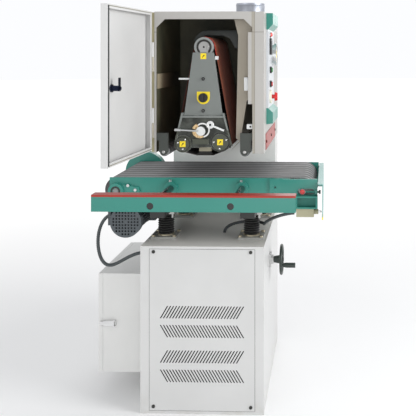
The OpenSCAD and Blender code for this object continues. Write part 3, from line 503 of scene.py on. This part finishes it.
def piece(name, bm, look, body, replaces=()):
    """Turns a bmesh in millimetres into a piece that rides on a body; None leaves it free."""
    bmesh.ops.recalc_face_normals(bm, faces=bm.faces)
    bmesh.ops.scale(bm, vec=(MM, MM, MM), verts=bm.verts)
    mesh = bpy.data.meshes.new(name)
    bm.to_mesh(mesh)
    bm.free()
    obj = bpy.data.objects.new(name, mesh)
    bpy.context.scene.collection.objects.link(obj)
    mesh.materials.append(MAT[look])
    smooth(obj)
    if replaces:
        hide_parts(*replaces)
    if body:
        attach(obj, body)
    return obj


def add_block(bm, low, high, bevel=0.6):
    """Box with rounded edges."""
    low, high = Vector(low), Vector(high)
    size = high - low
    made = bmesh.ops.create_cube(bm, size=1, matrix=Matrix.Translation((low + high) / 2)
                                 @ Matrix.Diagonal((*size, 1)))
    edges = {e for v in made["verts"] for e in v.link_edges}
    bmesh.ops.bevel(bm, geom=list(edges), offset=min(bevel, min(size) * 0.4), segments=2,
                    profile=0.5, affect="EDGES")


def add_lathe(bm, profile, base, axis, steps=48):
    """Turned shape; profile is [(radius, distance along the axis)], closed at radius 0."""
    axis = Vector(axis)
    u = axis.orthogonal().normalized()
    v = axis.cross(u)
    rings = []
    for r, h in profile:
        centre = Vector(base) + axis * h
        if r == 0:
            rings.append([bm.verts.new(centre)])
            continue
        turns = [2 * math.pi * i / steps for i in range(steps)]
        rings.append([bm.verts.new(centre + (u * math.cos(a) + v * math.sin(a)) * r) for a in turns])
    for a, b in zip(rings, rings[1:]):
        for i in range(steps):
            j = (i + 1) % steps
            corners = [a[i % len(a)], a[j % len(a)], b[j % len(b)], b[i % len(b)]]
            unique = list(dict.fromkeys(corners))
            if len(unique) > 2:
                bm.faces.new(unique)


def add_plate(bm, outline, y0, y1):
    """Outline [(x, z)] given thickness along Y."""
    faces = [[bm.verts.new((x, y, z)) for x, z in outline] for y in (y0, y1)]
    for face in faces:
        bm.faces.new(face)
    for i in range(len(outline)):
        j = (i + 1) % len(outline)
        bm.faces.new([faces[0][i], faces[0][j], faces[1][j], faces[1][i]])


def add_tube(bm, points, radius, steps=16):
    """Tube along points; radius(i) gives the radius at point i. Closed at both ends."""
    side = None
    rings = []
    for i, p in enumerate(points):
        ahead = (points[min(i + 1, len(points) - 1)] - points[max(i - 1, 0)]).normalized()
        side = ahead.orthogonal() if side is None else side - ahead * side.dot(ahead)
        side.normalize()
        other = ahead.cross(side)
        turns = [2 * math.pi * k / steps for k in range(steps)]
        rings.append([bm.verts.new(p + (side * math.cos(a) + other * math.sin(a)) * radius(i))
                      for a in turns])
    for a, b in zip(rings, rings[1:]):
        for k in range(steps):
            n = (k + 1) % steps
            bm.faces.new([a[k], a[n], b[n], b[k]])
    bm.faces.new(rings[0])
    bm.faces.new(rings[-1])


def bezier(p, count):
    """Points on a cubic curve through four control points."""
    p = [Vector(q) for q in p]
    for i in range(count):
        t = i / (count - 1)
        k = 1 - t
        yield p[0] * k**3 + p[1] * 3 * k * k * t + p[2] * 3 * k * t * t + p[3] * t**3


def turned(name, profile, place, look, body, axis=Y, steps=48, replaces=()):
    """Turned piece whose profile closes on itself or on its axis."""
    bm = bmesh.new()
    add_lathe(bm, profile, place, axis, steps)
    bmesh.ops.remove_doubles(bm, verts=bm.verts, dist=1e-4)
    return piece(name, bm, look, body, replaces)


def block(name, low, high, bevel, look, body):
    """Piece made of one box with rounded edges."""
    bm = bmesh.new()
    add_block(bm, low, high, bevel)
    return piece(name, bm, look, body)


# ---- soft pieces between the table and the base ----

def bellows():
    """Pleated covers of the jack screws."""
    pleats, root, tip, wall = 9, 28.5, 35.0, 1.6
    pitch = (bellows_hi.z - bellows_lo.z) / pleats
    steps = 10
    for name, (x, y) in SCREWS.items():
        outer = []
        for i in range(pleats * steps + 1):
            wave = 0.5 - 0.5 * math.cos(2 * math.pi * i / steps)
            outer.append((root + (tip - root) * wave**0.7, pitch * i / steps))
        inner = [(r - wall, h) for r, h in reversed(outer)]
        obj = turned("bellows_" + name, outer + inner + outer[:1], (x, y, bellows_lo.z), "bellows",
                     None, Z, 40, ("screw_bellows",))
        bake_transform(obj)


def lead(name, curves, radius):
    """Ribbed flexible conduit along joined curves, bending between the base and the table."""
    points = []
    for curve in curves:
        points += list(bezier(curve, 60))[1 if points else 0:]
    bm = bmesh.new()
    add_tube(bm, points, lambda i: radius * (1.0 if i % 2 else 0.9))
    obj = piece(name, bm, "cable", None, ("flex_cables",))
    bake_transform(obj)


def leads():
    """The feed motor's lead on the left and the safety switch's lead on the right."""
    lead("motor_lead", [[(-412, -290, 790), (-478, -290, 755), (-470, -290, 600), (-422, -290, 582)],
                        [(-422, -290, 582), (-380, -290, 566), (-330, -290, 636), (-252, -290, 635)]],
         7.4)
    lead("switch_lead", [[(380, -395, 830), (320, -400, 826), (262, -330, 785), (242, -235, 745)],
                         [(242, -235, 745), (232, -140, 735), (58, -140, 745), (58, -150, 684)]],
         6.6)


def feed_belt():
    """Conveyor belt with raised ribs along its run, around both rollers."""
    thick, gap = 3.0, 0.2
    radius = (belt_hi.z - belt_lo.z) / 2
    inner = gap + radius - thick
    centres = (belt_lo.x + radius, belt_hi.x - radius)
    middle = (belt_lo.z + belt_hi.z) / 2
    turns = 40
    path = []
    for cx, start in ((centres[0], 90), (centres[1], -90)):
        for i in range(turns + 1):
            a = math.radians(start + 180 * i / turns)
            path.append((cx, math.cos(a), math.sin(a)))
    pitch, groove = rib_pitch(), 1.6
    section = [(belt_lo.y, inner), (belt_hi.y, inner)]
    for i in reversed(range(RIBS)):
        y0 = belt_lo.y + pitch * i
        section += [(y0 + pitch * 0.97, radius), (y0 + pitch * 0.5, radius),
                    (y0 + pitch * 0.42, radius - groove), (y0 + pitch * 0.05, radius - groove)]
    section[2] = (belt_hi.y, radius)
    section.append((belt_lo.y, radius - groove))
    bm = bmesh.new()
    loops = [[bm.verts.new((cx + c * r, y, middle + s * r)) for y, r in section]
             for cx, c, s in path]
    for i, loop in enumerate(loops):
        after = loops[(i + 1) % len(loops)]
        for k in range(len(section)):
            n = (k + 1) % len(section)
            bm.faces.new([loop[k], loop[n], after[n], after[k]])
    piece("ribbed_feed_belt", bm, "belt", "table", ("conveyor_belt",))


# ---- signs and small fittings ----

def sign(name, x, z, y, size):
    """Yellow square with a plain slanted arrow, facing the open side."""
    half = size / 2
    bm = bmesh.new()
    add_plate(bm, [(x - half, z - half), (x + half, z - half), (x + half, z + half),
                   (x - half, z + half)], y - 0.5, y)
    piece(name, bm, "yellow", "machine")
    tip, tail, wide = 0.34 * size, 0.3 * size, 0.06 * size
    across = [(-wide, -tail), (wide, -tail), (wide, 0.06 * size), (2.6 * wide, 0.06 * size),
              (0, tip), (-2.6 * wide, 0.06 * size), (-wide, 0.06 * size)]
    c, s = math.cos(math.radians(-40)), math.sin(math.radians(-40))
    bm = bmesh.new()
    add_plate(bm, [(x + a * c - b * s, z + a * s + b * c) for a, b in across], y - 0.8, y - 0.5)
    piece(name + "_arrow", bm, "black", "machine")


def signs():
    """One sign below the idler and one on each bearing cap."""
    side = 24
    sign("sign_top", idler.x, 1466, plate_y, side)
    sign("sign_steel_drum", steel_cap.x, steel_cap.z, steel_cap.y, side)
    sign("sign_contact_drum", drum_cap.x, drum_cap.z, drum_cap.y, side)


def knob_plate():
    """Yellow plate behind the tension knob: square above, round below."""
    x, y, z = tension_knob
    half = 27
    outline = [(x - half, z + half - 2), (x - half, z)]
    outline += [(x - half * math.cos(math.radians(a)), z - half * math.sin(math.radians(a)))
                for a in range(10, 180, 10)]
    outline += [(x + half, z), (x + half, z + half - 2)]
    bm = bmesh.new()
    add_plate(bm, outline, y, y + 1.4)
    piece("knob_plate", bm, "yellow", "machine")


def add_sector(bm, centre, inner, outer, angles, y0, y1):
    """Part of a flat ring in the XZ plane; outer and angles are (first, last), in degrees."""
    steps = [i / 16 for i in range(17)]
    outline = []
    for radii, order in ((outer, steps), ((inner, inner), steps[::-1])):
        for t in order:
            r = radii[0] + (radii[1] - radii[0]) * t
            a = math.radians(angles[0] + (angles[1] - angles[0]) * t)
            outline.append((centre.x + r * math.cos(a), centre.z + r * math.sin(a)))
    add_plate(bm, outline, y0, y1)


def lever_seat():
    """Brass segments and the bright ring that the platen lever's hub turns in."""
    for i, (outer, angles) in enumerate((((35, 38), (122, 163)), ((38, 27), (184, 292)))):
        bm = bmesh.new()
        add_sector(bm, lever, 20, outer, angles, front + 22, front + 27.4)
        piece(f"brass_segment_{i}", bm, "brass", "machine")
    turned("seat_ring", [(24.5, 0), (30, 0), (30, 0.9), (24.5, 0.9), (24.5, 0)], seat, "chrome",
           "machine")


def ring(inner, outer, thick):
    """Closed profile of a flat ring with broken edges, for a turned piece."""
    c = min(0.4, thick / 3)
    return [(inner, c), (inner + c, 0), (outer - c, 0), (outer, c), (outer, thick),
            (inner, thick), (inner, c)]


def cap_screw(name, place, r):
    """Socket screw head that stands on a face of the machine and points to the open side."""
    profile = [(0, r * 0.5), (r * 0.45, r * 0.5), (r * 0.45, 0), (r * 0.9, 0), (r, r * 0.12),
               (r, r * 0.9), (0, r * 0.9)]
    turned(name, profile, Vector(place) - Y * (r * 0.9), "black_gloss", "machine")


def head_details():
    """End ring of the idler, screws and rings of the sanding head and its levers."""
    turned("idler_ring", ring(32, 41.5, 12), (idler.x, front + 44.6, idler.z), "roller",
           "tension_yoke")
    # Dark ring set in the idler ring's bore: painted shade for the gap between ring and hub.
    turned("idler_well", ring(20.5, 32, 4), (idler.x, front + 50, idler.z), "dark_steel",
           "tension_yoke")
    turned("idler_washer", ring(12.3, 20, 3), (idler.x, front + 45.2, idler.z), "steel",
           "tension_yoke")
    turned("idler_centre", [(0, 0), (4.2, 0), (4.2, 0.6), (0, 0.6)],
           (idler.x, front + 39.6, idler.z), "black", "tension_yoke")
    for i, z in enumerate((1240, 1372)):
        cap_screw(f"plate_screw_{i}", (0, plate_y, z), 7)
    for name, cap, radius, angles in (("steel", steel_cap, 21, (-90, 165, 60)),
                                      ("drum", drum_cap, 27, (-95, 180, 20))):
        for i, a in enumerate(map(math.radians, angles)):
            turned(f"{name}_cap_screw_{i}", [(0, 0), (2.6, 0), (3.4, 0.8), (3.4, 2), (0, 2)],
                   cap + Vector((radius * math.cos(a), -2, radius * math.sin(a))), "chrome",
                   "machine")
    turned("drum_cap_seal", ring(34.2, 39, 3.4), (drum_cap.x, front + 22.6, drum_cap.z), "black",
           "machine")
    turned("steel_cap_seal", ring(27.2, 30, 4), (steel_cap.x, front + 22, steel_cap.z), "dark_steel",
           "machine")
    turned("lock_ring", ring(9, 15, 1.2), (lock.x, front + 14.8, lock.z), "chrome", "lock_lever")
    turned("lock_centre", [(0, 0), (5, 0), (5, 0.6), (0, 0.6)], (lock.x, front + 15.4, lock.z),
           "black", "lock_lever")
    for name, x in (("infeed", 174), ("outfeed", -160)):
        turned(name + "_shaft_nut", [(0, 0), (5, 0), (6.5, 1.2), (6.5, 3), (0, 3)],
               (x, front + 3, PRESSURE_Z), "steel", name + "_pressure_roller")


def chamber_details():
    """Wall brace, hose elbow and sensor inside the sanding chamber, and a strip along the hinge side,
    painted shade standing in for the door's shaded edge.
    """
    block("wall_brace", (wall_x + 3.1, front + 24, 1331), (wall_x + 9, front + 420, 1393), 1.5,
          "brace", "machine")
    bm = bmesh.new()
    arc = [math.radians(100 + 62 * i / 12) for i in range(13)]
    x, z = 2, 1510
    outer = [(x + 72 * math.cos(a), z + 70 * math.sin(a)) for a in arc]
    inner = [(x + 52 * math.cos(a), z + 50 * math.sin(a)) for a in arc[::-1]]
    add_plate(bm, [(126, 1579)] + outer + inner + [(60, 1559), (92, 1546), (112, 1500), (126, 1500)],
              front + 168, front + 330)
    bmesh.ops.bevel(bm, geom=list(bm.edges), offset=3, segments=2, profile=0.5, affect="EDGES")
    piece("hose_elbow", bm, "hose", "machine")
    block("jamb_sensor", (183, front + 6, 1167), (206, front + 22, 1187), 1.5, "white", "machine")
    turned("jamb_sensor_eye", [(0, 0), (4, 0), (4, 0.6), (0, 0.6)], (198, front + 5.5, 1177), "black",
           "machine")
    # Strip along the hinge side: painted shade standing in for the door's shaded edge.
    block("hinge_edge_shade_strip", (wall_x - 12, front + 5, head_lo.z + 4),
          (wall_x - 0.2, front + 7.6, head_hi.z - 3), 0.5, "edge_shade_strip", "machine")


def door_seal():
    """Rubber seals on the door's inner lip, laid out on the shut door and then opened."""
    low, high = 1085.0, 1644.0
    x0, x1 = 14.0, 449.0
    opened = (Matrix.Translation((*DOOR_HINGE, 0))
              @ Matrix.Rotation(math.radians(-DOOR_OPEN), 4, "Z"))
    for name, look, strips in (
            ("door_seal", "rubber", [((x1 - 9, low), (x1, high))]),
            ("door_lip_seal", "lip", [((x0, low), (x1 - 9, low + 3)),
                                        ((x0, high - 3), (x1 - 9, high))])):
        bm = bmesh.new()
        for a, b in strips:
            add_block(bm, (a[0], 1, a[1]), (b[0], 2.6, b[1]), 0.5)
        bmesh.ops.transform(bm, matrix=opened, verts=bm.verts)
        piece(name, bm, look, "head_door")


def panel_pieces():
    """Lamp, readout, gauge and bezels of the control panel, in their own materials."""
    face, y = PANEL_FACE, BUTTONS_Y
    lamp, gauge = (face, y, 1560), (face, GAUGE_Y, GAUGE_Z)
    turned("lamp_ring", [(0, 0), (14, 0), (14, 3), (10.5, 3.4), (0, 3.4)], lamp, "chrome",
           "machine", X, replaces=("panel_fittings",))
    dome = [(10 * math.cos(math.radians(a)), 3.4 + 8.6 * math.sin(math.radians(a)))
            for a in range(0, 90, 10)]
    turned("lamp_lens", [(0, 3.4)] + dome + [(0, 12)], lamp, "lens", "machine", X)
    block("readout", (face, y - 27, 1472), (face + 8, y + 27, 1544), 2.0, "black", "machine")
    block("readout_window", (face + 7.5, y - 22, 1512), (face + 8.8, y + 22, 1537), 0.6,
          "black_gloss", "machine")
    bezel = [(10.4, 0), (15, 0), (15, 6.5), (13.5, 8), (10.4, 8), (10.4, 0)]
    for name, z in (("start", 1406), ("stop", 1345)):
        turned("bezel_" + name, bezel, (face, y, z), "black_gloss", "machine", X)
    turned("stop_collar", [(9.4, 0), (30, 0), (30, 6), (28, 8), (9.4, 8), (9.4, 0)],
           (face, y, 1290), "dial", "machine", X)
    turned("gauge_body", [(0, 0), (46, 0), (46, 10), (52, 11), (52, 19), (50, 20), (46, 20),
                          (45.5, 16.5), (0, 16.5)], gauge, "satin", "machine", X, 64)
    turned("gauge_dial", [(0, 16.5), (45, 16.5), (45, 17.1), (0, 17.1)], gauge, "dial", "machine",
           X, 64)
    turned("gauge_centre", [(0, 17.1), (16, 17.1), (16, 17.5), (0, 17.5)], gauge, "yellow",
           "machine", X)
    gauge_marks(face + 17.6, GAUGE_Y, GAUGE_Z)


def add_turned_block(bm, low, high, bevel, place, degrees):
    """Rounded box turned about the X axis and then moved to its place."""
    before = set(bm.verts)
    add_block(bm, low, high, bevel)
    bmesh.ops.transform(bm, matrix=Matrix.Translation(place)
                        @ Matrix.Rotation(math.radians(degrees), 4, "X"),
                        verts=[v for v in bm.verts if v not in before])


def gauge_marks(x, y, z):
    """Ring of tick marks and a needle."""
    bm = bmesh.new()
    for i in range(19):
        long = 9 if i % 3 == 0 else 5
        add_turned_block(bm, (-0.4, -0.6, 42 - long), (0.1, 0.6, 42), 0.1, (x, y, z), -135 + 15 * i)
    add_turned_block(bm, (-0.1, -1.1, -8), (0.5, 1.1, 34), 0.3, (x, y, z), -60)
    piece("gauge_needle", bm, "black", "machine")


def small_fittings():
    """Caps, tape and switch on the table and the jamb, and the duct's sleeve."""
    turned("shaft_cap", [(0, 0), (10, 0), (10, 4.5), (8, 6), (0, 6)], (412, front - 12, ROLLER_Z),
           "red_button", "infeed_roller", -Y)
    turned("bearing_ring", ring(13, 20, 1.2), (-351, front - 21, ROLLER_Z), "dark_steel", "table")
    stop_lo, stop_hi = box_mm("stop_plate")
    block("stop_plate_tape", (stop_hi.x - 4, stop_lo.y - 0.6, stop_lo.z),
          (stop_hi.x + 0.6, stop_lo.y + 60, stop_lo.z + 10), 0.3, "yellow", "stop_plate")
    block("door_switch", (171.4, front + 9.4, 1324), (190.6, front + 24.6, 1379), 1.5, "white",
          "machine")
    collar_sleeve()


def collar_sleeve():
    """Zinc-coated sleeve with a rolled bead round the duct's collar."""
    top = duct_hi.z
    turned("collar_sleeve",
           [(62.6, top - 48), (63.1, top - 48), (63.1, top - 12), (64.4, top - 9), (63.1, top - 6),
            (63.1, top + 0.3), (60.8, top + 0.3), (60.8, top - 48), (62.6, top - 48)],
           (*COLLAR, 0), "galvanised", "machine", Z, 72)


# ---- stage ----

def stage():
    """Pale floor that glows into the backdrop far out, and a world that looks brighter than it lights."""
    floor_radius, fade_from, fade_to = 40, 1.2, 4.0
    lit, seen_as = 0.72, 1.02
    bm = bmesh.new()
    bmesh.ops.create_circle(bm, cap_ends=True, radius=floor_radius, segments=96)
    mesh = bpy.data.meshes.new("floor")
    bm.to_mesh(mesh)
    bm.free()
    floor = bpy.data.objects.new("floor", mesh)
    bpy.context.scene.collection.objects.link(floor)
    s = Surface("floor_paint", srgb(246, 246, 246), 0.6)
    s.vary(0.004, 1.0)
    far = s.node("ShaderNodeVectorMath", operation="LENGTH")
    s.put(far.inputs[0], s.where)
    fade = s.steps(far.outputs["Value"], fade_from, fade_to)
    s.over(fade, (0, 0, 0, 1), 1.0)
    s.put(s.bsdf.inputs["Emission Color"], (1, 1, 1, 1))
    s.put(s.bsdf.inputs["Emission Strength"], s.math("MULTIPLY", fade, seen_as))
    mesh.materials.append(s.done())
    world = bpy.data.worlds.new("studio")
    world.use_nodes = True
    tree = world.node_tree
    sky = tree.nodes["Background"]
    sky.inputs["Color"].default_value = srgb(250, 251, 253)
    strength = tree.nodes.new("ShaderNodeMapRange")
    strength.inputs["To Min"].default_value = lit
    strength.inputs["To Max"].default_value = seen_as
    seen = tree.nodes.new("ShaderNodeLightPath").outputs["Is Camera Ray"]
    tree.links.new(seen, strength.inputs["Value"])
    tree.links.new(strength.outputs[0], sky.inputs["Strength"])
    bpy.context.scene.world = world


def area_light(name, place, aim, size, power):
    """Square lamp at a place in metres, turned to its aim; power in watts."""
    data = bpy.data.lights.new(name, "AREA")
    data.energy, data.size = power, size
    lamp = bpy.data.objects.new(name, data)
    lamp.location = place
    lamp.rotation_euler = (Vector(aim) - Vector(place)).to_track_quat("-Z", "Y").to_euler()
    bpy.context.scene.collection.objects.link(lamp)


def lights():
    """Strong soft key from the infeed side, weaker fills and a back light."""
    area_light("key", (3.6, -1.6, 2.2), (0, 0, 1.0), 1.8, 90)
    area_light("fill", (-2.6, -3.4, 1.8), (0, 0, 0.9), 2.6, 25)
    area_light("low", (0.4, -3.0, 1.0), (0, 0, 1.0), 1.0, 6)
    area_light("back", (0.5, 3.6, 2.8), (0, 0, 1.0), 2.4, 30)


def shift_lens(cam, way, amount):
    """Shifts the lens while the camera stands at its own place, and lets go when it is moved."""
    reach = 0.02
    curve = cam.data.driver_add(way)
    for modifier in list(curve.modifiers):
        curve.modifiers.remove(modifier)
    curve.driver.type = "SUM"
    place = curve.driver.variables.new()
    place.type = "TRANSFORMS"
    place.targets[0].id = cam
    place.targets[0].transform_type = "LOC_X"
    for offset, value in ((-reach, 0.0), (0.0, amount), (reach, 0.0)):
        curve.keyframe_points.insert(cam.location.x + offset, value).interpolation = "LINEAR"
    curve.extrapolation = "CONSTANT"


def camera():
    """Level camera at the machine's open side; the shifted lens keeps its uprights parallel."""
    data = bpy.data.cameras.new("camera")
    data.lens, data.sensor_width = 58.6, 36     # millimetres
    cam = bpy.data.objects.new("camera", data)
    cam.location = (0.512, -3.14, 1.47)         # metres
    shift_lens(cam, "shift_x", -0.2435)
    shift_lens(cam, "shift_y", -0.3673)
    cam.rotation_euler = (math.radians(90), 0, math.radians(1.5))
    bpy.context.scene.collection.objects.link(cam)
    bpy.context.scene.camera = cam


dress_cad_nodes()
bellows()
leads()
feed_belt()
signs()
knob_plate()
lever_seat()
head_details()
chamber_details()
door_seal()
panel_pieces()
small_fittings()
stage()
lights()
camera()
bpy.context.scene.view_settings.view_transform = "Standard"
